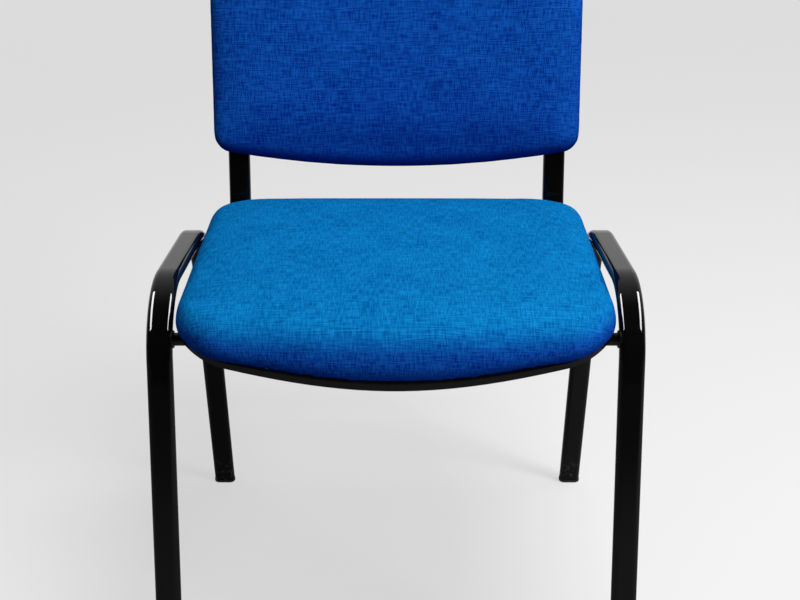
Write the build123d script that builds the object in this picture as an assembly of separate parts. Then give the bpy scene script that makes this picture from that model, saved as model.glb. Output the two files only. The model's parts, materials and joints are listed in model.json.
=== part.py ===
from build123d import *
import math
import os

# Stacking chair: black tube frame, upholstered seat and back.
# X runs across the chair, Y from front to rear, Z up, with the feet on Z = 0.

os.makedirs("parts", exist_ok=True)

# Tube of the frame
tube_width = 28.0
tube_thickness = 15.0
tube_wall = 1.5
tube_corner = 6.5
cross_tube_step = 1.0
cross_tube_sink = 1.0
cross_tube_gap = 1.5

# Side frames
frame_spacing = 505.0
foot_spacing = 492.0
front_leg_lean = 14.0
rear_leg_lean = 9.75
top_run_height = 459.5
top_run_slope = 7.7
front_bend_radius = 80.0
rear_bend_radius = 100.0

# Feet
foot_sole = 5.0
foot_flare = 0.6
foot_plug_depth = 22.0
foot_plug_clearance = 0.15
foot_edge = 1.0

# Seat
seat_height = 432.0
seat_tilt = 2.0
seat_side_gap = 2.0
seat_front = -212.5
seat_rear = 222.0
seat_front_bow = 800.0
seat_front_corner = 75.0
seat_rear_corner = 70.0
seat_bend_start = -136.0
seat_bend_radius = 105.0
seat_foam_thickness = 22.5
seat_crown = 2.5
seat_front_roll = 34.0

# Back
back_lean = 13.0
back_height = 339.0
back_width = 472.0
back_curve = 1600.0
back_bottom_bow = 1150.0
back_top_bow = 1500.0
back_bottom_corner = 26.0
back_top_corner = 42.0
back_foam_thickness = 22.0
back_crown = 4.0
back_rear_curve = 5000.0
back_seat_rise = 56.0

# Supports that carry the back and the seat
support_inset = 30.0
support_rear = 236.0
support_bend_radius = 40.0
support_top_gap = 60.0

# Boards, covers and shells
board_thickness = 8.0
board_inset = 13.0
cover_thickness = 1.2
cover_hem = 26.0
cover_draw = 8.0
cushion_roll = 16.0
trim_margin = 2.0
foam_clearance = 0.3
seat_foam_slack = 0.7
shell_wall = 2.5
shell_inset = 3.0
seat_rim_drop = 2.0
rim_gap = 0.3
back_shell_edge = 6.0
tube_clearance = 1.0

# Fasteners
bolt_diameter = 6.0
bolt_head_width = 10.0
bolt_head_height = 4.0
bolt_head_room = 1.5
bolt_hole_clearance = 0.5
washer_diameter = 12.5
washer_thickness = 1.6
nut_flange_diameter = 18.0
nut_flange_thickness = 1.2
nut_barrel_diameter = 8.0
nut_barrel_gap = 0.5
boss_diameter = 20.0
spacer_diameter = 18.0
screw_diameter = 3.5
screw_head_diameter = 7.0
screw_head_height = 2.4
screw_bite = 6.0
screw_post_diameter = 13.0
staple_crown = 10.0
staple_wire = 1.0
staple_bite = 5.0
staple_clearance = 0.02
staple_gap = 0.1
seat_staple_count = 30
back_staple_count = 28
seat_bolt_front = -92.0
seat_bolt_rear = 122.0
seat_screw_front = -104.0
seat_screw_rear = 140.0
seat_screw_spacing = 250.0
back_bolt_low = 75.0
back_bolt_high = 240.0
back_screw_low = 90.0
back_screw_high = 255.0
back_screw_spacing = 230.0

# Sizes that follow from the ones above
reach = 1500.0
side_x = frame_spacing / 2
seat_half = side_x - tube_width / 2 - seat_side_gap
support_x = seat_half - support_inset
back_half = back_width / 2
cross_tube_diameter = tube_thickness - cross_tube_step
seat_board_bottom = shell_wall + staple_wire + foam_clearance + cover_thickness
seat_board_top = seat_board_bottom + board_thickness
seat_cover_bottom = seat_board_bottom - cover_thickness
seat_top = seat_board_top + seat_foam_thickness + cover_thickness
seat_rim_rise = seat_cover_bottom - rim_gap
back_rim_rise = -cover_thickness - rim_gap
back_lean_rad = math.radians(back_lean)
up_the_back = (0, math.sin(back_lean_rad), math.cos(back_lean_rad))
front_of_back = (0, -math.cos(back_lean_rad), math.sin(back_lean_rad))

# The seat frame lies on the rails, with its z square to the seat pan
seat_plane = Plane(
    origin=(0, 0, seat_height),
    x_dir=(1, 0, 0),
    z_dir=(0, math.sin(math.radians(seat_tilt)), math.cos(math.radians(seat_tilt))),
)


def from_seat(x, y, z):
    return seat_plane.from_local_coords(Vector(x, y, z))


# Where the rails and the uprights would meet if the tube had no bend
rail_corner = from_seat(0, support_rear, -tube_thickness / 2)

# The back frame has its origin on the axis of the uprights, y up the back and z towards the sitter
back_origin = rail_corner + Vector(*up_the_back) * (back_seat_rise + tube_thickness)
back_plane = Plane(origin=back_origin, x_dir=(1, 0, 0), z_dir=front_of_back)


def sagitta(radius, x):
    return radius - math.sqrt(radius * radius - x * x)


# Rear face of the back board at the middle, far enough forward for the hem to clear the uprights
support_inner_x = support_x - tube_width / 2
back_board_rear = (
    tube_thickness / 2 + cover_thickness + 2 * staple_wire - sagitta(back_curve, support_inner_x)
)
bolt_reach = tube_thickness / 2 + washer_thickness + bolt_head_height + bolt_head_room
back_shell_inner = -bolt_reach - sagitta(back_rear_curve, support_x + bolt_head_width)

# Depth between the front feet and the top of the back, which the origin halves
depth_front = -foot_spacing / 2 - tube_thickness / 2
depth_rear = back_plane.from_local_coords(Vector(0, back_height, back_shell_inner - shell_wall)).Y
to_origin = Pos(0, -(depth_front + depth_rear) / 2, 0)


def save(name, shape):
    export_step(to_origin * shape, "parts/" + name + ".step")


def save_pair(name, shape):
    save(name + "_right", shape)
    save(name + "_left", mirror(shape, about=Plane.YZ))


def tube_section(grow=0.0):
    return RectangleRounded(tube_width + 2 * grow, tube_thickness + 2 * grow, tube_corner + grow)


def swept(path, grow=0.0):
    start = Plane(origin=path @ 0, x_dir=(1, 0, 0), z_dir=path % 0)
    return sweep(start * tube_section(grow), path)


def slab(low, high):
    return Pos(0, 0, (low + high) / 2) * Box(reach, reach, high - low)


def pin(diameter, low, high):
    return Pos(0, 0, (low + high) / 2) * Cylinder(diameter / 2, high - low)


# Side frame: one tube bent into front leg, top run and rear leg
front_foot_y = -foot_spacing / 2
rear_foot_y = foot_spacing / 2
front_slope = math.tan(math.radians(front_leg_lean))
rear_slope = math.tan(math.radians(rear_leg_lean))
run_slope = math.tan(math.radians(top_run_slope))


def front_leg_point(z):
    return Vector(side_x, front_foot_y + z * front_slope, z)


def rear_leg_point(z):
    return Vector(side_x, rear_foot_y - z * rear_slope, z)


front_corner_z = (top_run_height - run_slope * front_foot_y) / (1 + run_slope * front_slope)
rear_corner_z = (top_run_height - run_slope * rear_foot_y) / (1 - run_slope * rear_slope)
below_floor = -foot_plug_depth
side_path = FilletPolyline(
    front_leg_point(below_floor),
    front_leg_point(front_corner_z),
    rear_leg_point(rear_corner_z),
    rear_leg_point(below_floor),
    radius=[front_bend_radius, rear_bend_radius],
)
side_bar = swept(side_path)
side_frame = side_bar - swept(side_path, -tube_wall) - slab(-reach, foot_sole)
both_side_bars = [side_bar, mirror(side_bar, about=Plane.YZ)]
save_pair("side_frame", side_frame)


# Feet: plastic plugs with a flat sole, pushed into the legs
def leg_bar(foot, lean_vector, grow):
    start = Plane(origin=foot - lean_vector * foot_plug_depth, x_dir=(1, 0, 0), z_dir=lean_vector)
    return extrude(start * tube_section(grow), 3 * foot_plug_depth)


def foot_cap(leg_point):
    lean_vector = (leg_point(1.0) - leg_point(0.0)).normalized()
    sole = leg_bar(leg_point(0.0), lean_vector, foot_flare) & slab(0, foot_sole)
    sole = chamfer(sole.edges().group_by(Axis.Z)[0], foot_edge)
    plug = leg_bar(leg_point(0.0), lean_vector, -tube_wall - foot_plug_clearance)
    return sole + (plug & slab(foot_sole / 2, foot_sole + foot_plug_depth))


save_pair("front_foot", foot_cap(front_leg_point))
save_pair("rear_foot", foot_cap(rear_leg_point))


# Front cross tube: on the front legs, its top just under the seat pan
def local_to_seat(point):
    return seat_plane.to_local_coords(point)


def leg_at_seat_height(leg_point, height):
    low = local_to_seat(leg_point(0.0))
    high = local_to_seat(leg_point(seat_height))
    share = (height - low.Z) / (high.Z - low.Z)
    return low.Y + (high.Y - low.Y) * share


def cross_bar(y, z, diameter):
    middle = from_seat(0, y, z)
    return Pos(middle.X, middle.Y, middle.Z) * Rot(0, 90, 0) * Cylinder(diameter / 2, frame_spacing)


front_cross_z = -cross_tube_diameter / 2 - cross_tube_gap
front_turn = math.radians(90 - front_leg_lean + top_run_slope)
front_tangent = front_bend_radius * math.tan(front_turn / 2)
front_leg_up = (front_leg_point(1.0) - front_leg_point(0.0)).normalized()
front_bend_low = front_leg_point(front_corner_z) - front_leg_up * front_tangent
front_bend_centre = local_to_seat(
    front_bend_low + Vector(0, front_leg_up.Z, -front_leg_up.Y) * front_bend_radius
)


# The front tube follows the leg, and above its straight part the bend
def front_tube_at(height):
    if height < local_to_seat(front_bend_low).Z:
        return leg_at_seat_height(front_leg_point, height)
    rise = height - front_bend_centre.Z
    return front_bend_centre.Y - math.sqrt(front_bend_radius**2 - rise**2)


front_cross_y = front_tube_at(front_cross_z)
front_cross_bar = cross_bar(front_cross_y, front_cross_z, cross_tube_diameter)
cross_bore = cross_tube_diameter - 2 * tube_wall
front_cross = front_cross_bar - cross_bar(front_cross_y, front_cross_z, cross_bore) - both_side_bars
save("front_cross_tube", front_cross)


# Rear bend of the side frame, whose centre line carries the rear cross tube
rear_turn = math.radians(90 - rear_leg_lean - top_run_slope)
rear_tangent = rear_bend_radius * math.tan(rear_turn / 2)
rear_leg_up = (rear_leg_point(1.0) - rear_leg_point(0.0)).normalized()
rear_bend_end = rear_leg_point(rear_corner_z) - rear_leg_up * rear_tangent
rear_bend_centre = local_to_seat(
    rear_bend_end + Vector(0, -rear_leg_up.Z, rear_leg_up.Y) * rear_bend_radius
)
rear_cross_z = -tube_thickness - cross_tube_diameter / 2 + cross_tube_sink
rear_cross_rise = rear_cross_z - rear_bend_centre.Z
rear_cross_y = rear_bend_centre.Y + math.sqrt(rear_bend_radius**2 - rear_cross_rise**2)
rear_cross_bar = cross_bar(rear_cross_y, rear_cross_z, cross_tube_diameter)

# Supports: each a rail under the seat that turns up to carry the back
rail_start = from_seat(support_x, front_cross_y + cross_tube_diameter * 0.3, -tube_thickness / 2)
rail_end = rail_corner + Vector(support_x, 0, 0)
upright_end = back_plane.from_local_coords(Vector(support_x, back_height - support_top_gap, 0))
support_path = FilletPolyline(rail_start, rail_end, upright_end, radius=support_bend_radius)
support_bar = swept(support_path)
both_support_bars = [support_bar, mirror(support_bar, about=Plane.YZ)]

seat_bolt_points = [
    (side * support_x, y) for side in (-1, 1) for y in (seat_bolt_front, seat_bolt_rear)
]
back_bolt_points = [
    (side * support_x, y) for side in (-1, 1) for y in (back_bolt_low, back_bolt_high)
]
bolt_hole = bolt_diameter + 2 * bolt_hole_clearance
seat_bolt_holes = [
    seat_plane.location * Pos(x, y, 0) * pin(bolt_hole, -2 * tube_thickness, 2 * tube_thickness)
    for x, y in seat_bolt_points
]
back_bolt_holes = [
    back_plane.location * Pos(x, y, 0) * pin(bolt_hole, -2 * tube_thickness, 2 * tube_thickness)
    for x, y in back_bolt_points
]
support = support_bar - swept(support_path, -tube_wall) - front_cross_bar
support = support - seat_bolt_holes - back_bolt_holes
save_pair("back_support", support)

rear_cross = rear_cross_bar - cross_bar(rear_cross_y, rear_cross_z, cross_bore)
rear_cross = rear_cross - both_side_bars - both_support_bars
save("rear_cross_tube", rear_cross)


# Seat outline: straight rear and sides, bowed front, all four corners rounded
def seat_outline(inset):
    half = seat_half - inset
    rear = seat_rear - inset
    front = seat_front + inset
    corner = front + sagitta(seat_front_bow - inset, half)
    edges = [
        Line((-half, rear), (half, rear)),
        Line((half, rear), (half, corner)),
        ThreePointArc((half, corner), (0, front), (-half, corner)),
        Line((-half, corner), (-half, rear)),
    ]
    face = make_face(edges)
    face = fillet(face.vertices().sort_by(Axis.Y)[:2], max(seat_front_corner - inset, 20.0))
    return fillet(face.vertices().sort_by(Axis.Y)[-2:], max(seat_rear_corner - inset, 10.0))


def seat_prism(inset):
    return extrude(seat_outline(inset), 100, both=True)


# Seat layers are flat behind the front bend and turn down ahead of it
def seat_layer(low, high):
    turn = math.radians(60)
    inner = seat_bend_radius + low
    outer = seat_bend_radius + high

    def on_bend(radius, angle):
        y = seat_bend_start - radius * math.sin(angle)
        return (y, radius * math.cos(angle) - seat_bend_radius)

    back_end = seat_rear + 100
    edges = [
        Line((back_end, low), (seat_bend_start, low)),
        ThreePointArc(on_bend(inner, 0), on_bend(inner, turn / 2), on_bend(inner, turn)),
        Line(on_bend(inner, turn), on_bend(outer, turn)),
        ThreePointArc(on_bend(outer, turn), on_bend(outer, turn / 2), on_bend(outer, 0)),
        Line((seat_bend_start, high), (back_end, high)),
        Line((back_end, high), (back_end, low)),
    ]
    return extrude(Plane.YZ * make_face(edges), 400, both=True)


# Seat shell: a shallow plastic pan with a rim, notched for the frame
seat_screw_points = [
    (side * seat_screw_spacing / 2, y) for side in (-1, 1) for y in (seat_screw_front, seat_screw_rear)
]


def located(points, shape):
    return [Pos(x, y, 0) * shape for x, y in points]


def seat_world(shape):
    return seat_plane.location * shape


seat_shell = seat_prism(shell_inset) & seat_layer(-seat_rim_drop, seat_rim_rise)
seat_shell = seat_shell - (seat_prism(shell_inset + shell_wall) & seat_layer(-50, 0))
seat_shell = seat_shell - (seat_prism(shell_inset + shell_wall) & seat_layer(shell_wall, 50))
seat_boss = pin(boss_diameter, shell_wall / 2, seat_board_bottom)
seat_screw_boss = pin(screw_post_diameter, shell_wall / 2, seat_board_bottom)
seat_shell = seat_shell + located(seat_bolt_points, seat_boss)
seat_shell = seat_shell + located(seat_screw_points, seat_screw_boss)
seat_shell = seat_shell - located(seat_bolt_points, pin(bolt_hole, -10, 20))
seat_shell = seat_shell - located(seat_screw_points, pin(screw_diameter, -10, 20))
tube_play = 2 * tube_clearance
support_room = swept(support_path, tube_clearance) & seat_world(
    Pos(0, seat_rear, 0) * Box(reach, 120, 120)
)
front_tube_room = cross_bar(front_cross_y, front_cross_z, cross_tube_diameter + tube_play)
seat_shell = seat_world(seat_shell)
support_room = support_room - seat_world(seat_prism(board_inset + cover_hem))
seat_shell = seat_shell - support_room - mirror(support_room, about=Plane.YZ)
seat_shell = seat_shell - (front_tube_room - seat_world(seat_prism(shell_inset + 4 * shell_wall)))
save("seat_shell", seat_shell)


# Tee nuts, bolts, washers and screws
def tee_nut(top, low):
    flange = pin(nut_flange_diameter, top - nut_flange_thickness, top)
    barrel = pin(nut_barrel_diameter, low + nut_barrel_gap, top - nut_flange_thickness)
    return flange + barrel - pin(bolt_diameter, low - board_thickness, top + board_thickness)


def bolt(head_face, tip):
    head = extrude(RegularPolygon(bolt_head_width / 2, 6, major_radius=False), bolt_head_height)
    return Pos(0, 0, head_face - bolt_head_height) * head + pin(bolt_diameter, head_face, tip)


def washer(low):
    disc = pin(washer_diameter, low, low + washer_thickness)
    return disc - pin(bolt_hole, low - 1, low + washer_thickness + 1)


def screw(head_face, tip):
    head = pin(screw_head_diameter, head_face - screw_head_height, head_face)
    head = fillet(head.edges().group_by(Axis.Z)[0], screw_head_height / 3)
    return head + pin(screw_diameter, head_face, tip)


def staple():
    crown = Pos(0, 0, -staple_wire / 2 - staple_gap) * Box(staple_crown, staple_wire, staple_wire)
    return crown + staple_legs(0.0)


def staple_legs(grow):
    size = staple_wire + 2 * grow
    length = staple_bite + cover_thickness
    leg = Pos(0, 0, (length - staple_gap) / 2) * Box(size, size, length + staple_gap + 2 * grow)
    offset = staple_crown / 2 - staple_wire / 2
    return [Pos(-offset, 0, 0) * leg, Pos(offset, 0, 0) * leg]


def save_group(name, plane, shapes):
    save(name, plane.location * Compound([solid for shape in shapes for solid in shape.solids()]))


washer_low = -tube_thickness - washer_thickness
seat_nuts = located(seat_bolt_points, tee_nut(seat_board_top, seat_board_bottom))
seat_bolt = bolt(washer_low, seat_board_top - nut_flange_thickness)
save_group("seat_tee_nuts", seat_plane, seat_nuts)
save_group("seat_bolts", seat_plane, located(seat_bolt_points, seat_bolt))
save_group("seat_washers", seat_plane, located(seat_bolt_points, washer(washer_low)))
seat_screw = screw(0, seat_board_bottom + screw_bite)
save_group("seat_shell_screws", seat_plane, located(seat_screw_points, seat_screw))


# Seat staples: along the hem, square to the underside of the board
def near(point, others, distance):
    return any(math.hypot(point.X - x, point.Y - y) < distance for x, y in others)


def seat_staple_planes():
    loop = seat_outline(board_inset + cover_hem / 2).wire()
    radius = seat_bend_radius + seat_cover_bottom
    planes = []
    for number in range(seat_staple_count):
        share = (number + 0.5) / seat_staple_count
        point = loop @ share
        tangent = loop % share
        if near(point, seat_bolt_points, boss_diameter / 2 + staple_crown):
            continue
        ahead = min(point.Y - seat_bend_start, 0.0)
        normal = Vector(0, ahead / radius, math.sqrt(1 - (ahead / radius) ** 2))
        height = radius * normal.Z - seat_bend_radius
        along = tangent - normal * tangent.dot(normal)
        planes.append(Plane(origin=(point.X, point.Y, height), x_dir=along, z_dir=normal))
    return planes


seat_staples = [plane.location * staple() for plane in seat_staple_planes()]
seat_staple_holes = [
    plane.location * leg for plane in seat_staple_planes() for leg in staple_legs(staple_clearance)
]
save_group("seat_staples", seat_plane, seat_staples)

# Seat board: bent plywood, drilled for the nuts, screws and staples
seat_board = seat_prism(board_inset) & seat_layer(seat_board_bottom, seat_board_top)
nut_recess = pin(nut_flange_diameter, seat_board_top - nut_flange_thickness, seat_board_top + 5)
seat_board = seat_board - located(seat_bolt_points, nut_recess)
seat_board = seat_board - located(seat_bolt_points, pin(nut_barrel_diameter, 0, 50))
seat_board = seat_board - located(seat_screw_points, pin(screw_diameter, 0, seat_board_bottom + screw_bite))
seat_board = seat_board - seat_staple_holes
save("seat_board", seat_world(seat_board))


# Cushions are built from upright sections set side by side across the chair
def quarter(share):
    return 1 - math.sqrt(max(1 - share * share, 0.0))


def rounded_corner(corner, x, half):
    return corner * quarter(max(abs(x) - (half - corner), 0.0) / corner)


def bowed_edge(bow, corner, x, half):
    return sagitta(bow, min(abs(x), half - corner)) + rounded_corner(corner, x, half)


def side_fade(width, x, half):
    return 1 - 0.85 * quarter(max(abs(x) - (half - width), 0.0) / width)


def rolled(start, end):
    half_root = math.sqrt(0.5)
    middle = (
        end[0] + (start[0] - end[0]) * half_root,
        start[1] + (end[1] - start[1]) * half_root,
    )
    return ThreePointArc(start, middle, end)


def cushion(section, half):
    right = [half * 0.35, half * 0.68, half - 42, half - 26, half - 15, half - 8, half - 3, half]
    stations = [-x for x in reversed(right)] + [0.0] + right
    return loft([section(x) for x in stations])


def upright_section(x, edges):
    return Plane(origin=(x, 0, 0), x_dir=(0, 1, 0), z_dir=(1, 0, 0)) * make_face(edges)


# Seat cushion: flat underneath, turned down and drawn in at the front, crowned on top
def seat_section(x, skin):
    half = seat_half - skin
    front = seat_front + skin + bowed_edge(seat_front_bow, seat_front_corner, x, half)
    rear = seat_rear - skin - rounded_corner(seat_rear_corner, x, half)
    base = seat_cover_bottom - trim_margin
    depth = seat_top - seat_cover_bottom
    widest = seat_cover_bottom + depth * 0.42
    under = widest - (widest - base) * side_fade(cover_draw, x, half)
    top = widest + (seat_top - skin - widest) * side_fade(cushion_roll, x, half)
    crown = seat_crown * (1 - (x / half) ** 2) + 0.5
    bend = max(seat_bend_start, front + cover_draw + 8)

    def fall(y):
        return sagitta(seat_bend_radius + base, max(seat_bend_start - y, 0.0))

    toe = front + cover_draw * 0.75
    toe_low = under - fall(toe)
    toe_middle = (bend + toe) / 2
    nose = widest - fall(toe) * 0.55
    edges = [
        rolled((rear, widest), (rear - cover_draw, under)),
        Line((rear - cover_draw, under), (bend, under)),
        ThreePointArc((bend, under), (toe_middle, under - fall(toe_middle) - 0.05), (toe, toe_low)),
        rolled((front, nose), (toe, toe_low)),
        rolled((front, nose), (front + seat_front_roll, top)),
        ThreePointArc(
            (front + seat_front_roll, top), ((front + rear) / 2, top + crown), (rear - cushion_roll, top)
        ),
        rolled((rear, widest), (rear - cushion_roll, top)),
    ]
    return upright_section(x, edges)


def seat_cushion(skin):
    return cushion(lambda x: seat_section(x, skin), seat_half - skin)


cover_form = seat_cushion(0.0) - seat_layer(-120, seat_cover_bottom)
cover_room = seat_cushion(cover_thickness) - seat_layer(-120, seat_board_bottom)
hem_opening = seat_prism(board_inset + cover_hem) & seat_layer(0, seat_board_bottom + 1)
boss_room = located(seat_bolt_points, pin(boss_diameter + 2, 0, seat_board_bottom))
seat_cover = cover_form - cover_room - hem_opening - boss_room - seat_staple_holes
save("seat_cover", seat_world(seat_cover))

board_room = seat_prism(board_inset - foam_clearance) & seat_layer(0, seat_board_top)
seat_foam = seat_cushion(cover_thickness + seat_foam_slack) - seat_layer(-120, seat_board_bottom) - board_room
save("seat_foam", seat_world(seat_foam))


# Back outline: bowed lower and upper edges, straight sides, rounded corners
def back_outline(inset):
    half = back_half - inset
    low = inset + sagitta(back_bottom_bow, half)
    high = back_height - inset - sagitta(back_top_bow, half)
    edges = [
        ThreePointArc((-half, low), (0, inset), (half, low)),
        Line((half, low), (half, high)),
        ThreePointArc((half, high), (0, back_height - inset), (-half, high)),
        Line((-half, high), (-half, low)),
    ]
    face = make_face(edges)
    face = fillet(face.vertices().sort_by(Axis.Y)[:2], max(back_bottom_corner - inset, 6.0))
    return fillet(face.vertices().sort_by(Axis.Y)[-2:], max(back_top_corner - inset, 8.0))


def back_prism(inset):
    return extrude(back_outline(inset), 150, both=True)


# Back layers curve around an upright axis in front of the chair
def back_layer(curve, rear, low, high):
    half_turn = math.asin(1.3 * back_half / curve)
    axis = rear + curve

    def on_curve(height, angle):
        radius = curve - height
        return (radius * math.sin(angle), axis - radius * math.cos(angle))

    edges = [
        ThreePointArc(on_curve(low, -half_turn), on_curve(low, 0), on_curve(low, half_turn)),
        Line(on_curve(low, half_turn), on_curve(high, half_turn)),
        ThreePointArc(on_curve(high, half_turn), on_curve(high, 0), on_curve(high, -half_turn)),
        Line(on_curve(high, -half_turn), on_curve(low, -half_turn)),
    ]
    points = Plane(origin=(0, -100, 0), x_dir=(1, 0, 0), z_dir=(0, -1, 0))
    return extrude(points * make_face(edges), -(back_height + 200))


def board_layer(low, high):
    return back_layer(back_curve, back_board_rear, low, high)


def back_world(shape):
    return back_plane.location * shape


# Back shell: plastic tray that closes the back over the uprights
def back_tray(inset, wall, edge):
    tray = back_prism(inset) - back_layer(back_rear_curve, back_shell_inner, -200, -wall)
    tray = tray - board_layer(back_rim_rise, 250)
    return fillet(tray.faces().sort_by(Axis.Z)[0].edges(), edge)


back_screw_points = [
    (side * back_screw_spacing / 2, y) for side in (-1, 1) for y in (back_screw_low, back_screw_high)
]
back_shell = back_tray(shell_inset, shell_wall, back_shell_edge)
tray_room = back_prism(shell_inset + shell_wall) - back_layer(back_rear_curve, back_shell_inner, -200, 0)
tray_room = fillet(tray_room.faces().sort_by(Axis.Z)[0].edges(), back_shell_edge - shell_wall)
back_shell = back_shell - tray_room
posts = [
    Pos(x, y, 0) * pin(screw_post_diameter, -80, 80)
    - back_layer(back_rear_curve, back_shell_inner, -200, -shell_wall / 2)
    - board_layer(0, 250)
    for x, y in back_screw_points
]
screw_x = back_screw_spacing / 2
screw_seat = back_shell_inner + sagitta(back_rear_curve, screw_x) + screw_head_height
back_shell = back_shell + posts
back_shell = back_shell - located(back_screw_points, pin(screw_diameter, -80, 80))
back_shell = back_shell - located(back_screw_points, pin(screw_head_diameter + 0.4, -80, screw_seat))
sockets = [
    Pos(side * support_x, 0, 0)
    * Box(tube_width + tube_play, 2 * back_bolt_low, tube_thickness + tube_play)
    for side in (-1, 1)
]
back_shell = back_shell - sockets
save("back_shell", back_world(back_shell))

# Back spacers: wedges between the uprights and the curved board
spacers = [
    Pos(x, y, 0) * (pin(spacer_diameter, tube_thickness / 2, 80) - pin(bolt_hole, -80, 90))
    - board_layer(0, 250)
    for x, y in back_bolt_points
]
save_group("back_spacers", back_plane, spacers)

# Back fasteners
nut_edge_x = support_x - nut_flange_diameter / 2
nut_top = back_board_rear + sagitta(back_curve, nut_edge_x) + board_thickness
nut_low = back_board_rear + sagitta(back_curve, support_x + nut_barrel_diameter / 2)
back_washer_low = -tube_thickness / 2 - washer_thickness
back_bolt = bolt(back_washer_low, nut_top - nut_flange_thickness)
back_screw_face = back_board_rear + sagitta(back_curve, screw_x)
save_group("back_tee_nuts", back_plane, located(back_bolt_points, tee_nut(nut_top, nut_low)))
save_group("back_bolts", back_plane, located(back_bolt_points, back_bolt))
save_group("back_washers", back_plane, located(back_bolt_points, washer(back_washer_low)))
back_screw = screw(screw_seat, back_screw_face + screw_bite)
save_group("back_shell_screws", back_plane, located(back_screw_points, back_screw))


# Back staples: along the hem on the rear of the board
def back_staple_planes():
    loop = back_outline(board_inset + cover_hem / 2).wire()
    radius = back_curve + cover_thickness
    planes = []
    for number in range(back_staple_count):
        share = (number + 0.5) / back_staple_count
        point = loop @ share
        tangent = loop % share
        if near(point, back_bolt_points, spacer_diameter / 2 + staple_crown):
            continue
        normal = Vector(-point.X / radius, 0, math.sqrt(1 - (point.X / radius) ** 2))
        depth = back_board_rear + back_curve - radius * normal.Z
        along = tangent - normal * tangent.dot(normal)
        planes.append(Plane(origin=(point.X, point.Y, depth), x_dir=along, z_dir=normal))
    return planes


back_staples = [plane.location * staple() for plane in back_staple_planes()]
back_staple_holes = [
    plane.location * leg for plane in back_staple_planes() for leg in staple_legs(staple_clearance)
]
save_group("back_staples", back_plane, back_staples)

# Back board: curved plywood
back_board = back_prism(board_inset) & board_layer(0, board_thickness)
nut_seat = pin(nut_flange_diameter, nut_top - nut_flange_thickness, 80)
back_board = back_board - located(back_bolt_points, nut_seat)
back_board = back_board - located(back_bolt_points, pin(nut_barrel_diameter, -80, 80))
back_board = back_board - located(back_screw_points, pin(screw_diameter, -80, back_screw_face + screw_bite))
back_board = back_board - back_staple_holes
save("back_board", back_world(back_board))


# Back cushion: bowed and curved like the board, crowned in front
def back_section(x, skin):
    half = back_half - skin
    low = skin + bowed_edge(back_bottom_bow, back_bottom_corner, x, half)
    high = back_height - skin - bowed_edge(back_top_bow, back_top_corner, x, half)
    base = back_board_rear + sagitta(back_curve, x) - cover_thickness
    depth = board_thickness + back_foam_thickness + 2 * cover_thickness
    widest = base + depth * 0.45
    rear = widest - (widest - base + trim_margin) * side_fade(cover_draw, x, half)
    front = widest + (depth * 0.55 - skin) * side_fade(cushion_roll, x, half)
    crown = back_crown * (1 - (x / half) ** 2) + 0.5
    edges = [
        rolled((low, widest), (low + cover_draw, rear)),
        rolled((low, widest), (low + cushion_roll, front)),
        ThreePointArc(
            (low + cushion_roll, front), ((low + high) / 2, front + crown), (high - cushion_roll, front)
        ),
        rolled((high, widest), (high - cushion_roll, front)),
        rolled((high, widest), (high - cover_draw, rear)),
        Line((high - cover_draw, rear), (low + cover_draw, rear)),
    ]
    return upright_section(x, edges)


def back_cushion(skin):
    return cushion(lambda x: back_section(x, skin), back_half - skin)


back_form = back_cushion(0.0) - board_layer(-100, -cover_thickness)
back_room = back_cushion(cover_thickness) - board_layer(-100, 0)
back_opening = back_prism(board_inset + cover_hem) & board_layer(-50, 1)
spacer_room = located(back_bolt_points, pin(spacer_diameter + 2, -80, nut_top - board_thickness / 2))
back_cover = back_form - back_room - back_opening - spacer_room - back_staple_holes
save("back_cover", back_world(back_cover))

back_board_room = back_prism(board_inset - foam_clearance) & board_layer(-50, board_thickness)
back_foam = back_cushion(cover_thickness + foam_clearance) - board_layer(-100, 0) - back_board_room
save("back_foam", back_world(back_foam))
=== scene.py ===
import json
import math
import bpy
import numpy as np
from mathutils import Matrix, Vector
from mathutils.bvhtree import BVHTree


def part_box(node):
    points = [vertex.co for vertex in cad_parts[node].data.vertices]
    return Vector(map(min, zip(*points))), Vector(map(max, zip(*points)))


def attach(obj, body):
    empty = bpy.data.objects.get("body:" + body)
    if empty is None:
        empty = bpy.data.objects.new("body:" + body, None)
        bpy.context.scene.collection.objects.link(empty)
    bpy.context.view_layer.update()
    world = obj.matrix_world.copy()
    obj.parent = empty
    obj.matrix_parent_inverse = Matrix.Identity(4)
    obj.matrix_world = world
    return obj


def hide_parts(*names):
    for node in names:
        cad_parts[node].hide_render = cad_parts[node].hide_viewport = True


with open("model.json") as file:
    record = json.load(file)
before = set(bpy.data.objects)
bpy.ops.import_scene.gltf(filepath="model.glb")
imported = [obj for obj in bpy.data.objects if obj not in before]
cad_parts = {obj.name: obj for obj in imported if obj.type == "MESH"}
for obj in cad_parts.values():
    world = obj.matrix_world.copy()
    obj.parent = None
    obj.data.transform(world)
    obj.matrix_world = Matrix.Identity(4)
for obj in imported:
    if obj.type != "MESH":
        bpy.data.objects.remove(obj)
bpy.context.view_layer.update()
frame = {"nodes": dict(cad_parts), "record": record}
nodes = frame["nodes"]
root = "root"

# Sizes shared with the solids, in metres
seat_height = 0.432
seat_tilt = math.radians(2.0)
seat_bend_start = -0.136
seat_bend_radius = 0.105
seat_board_top = 0.013
seat_top = 0.037
support_rear = 0.236
tube_thickness = 0.015
back_lean = math.radians(13.0)
back_seat_rise = 0.056
back_curve = 1.6
back_board_rear = -0.0009
back_top = 0.032
board_thickness = 0.008
foam_clearance = 0.0003

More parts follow.
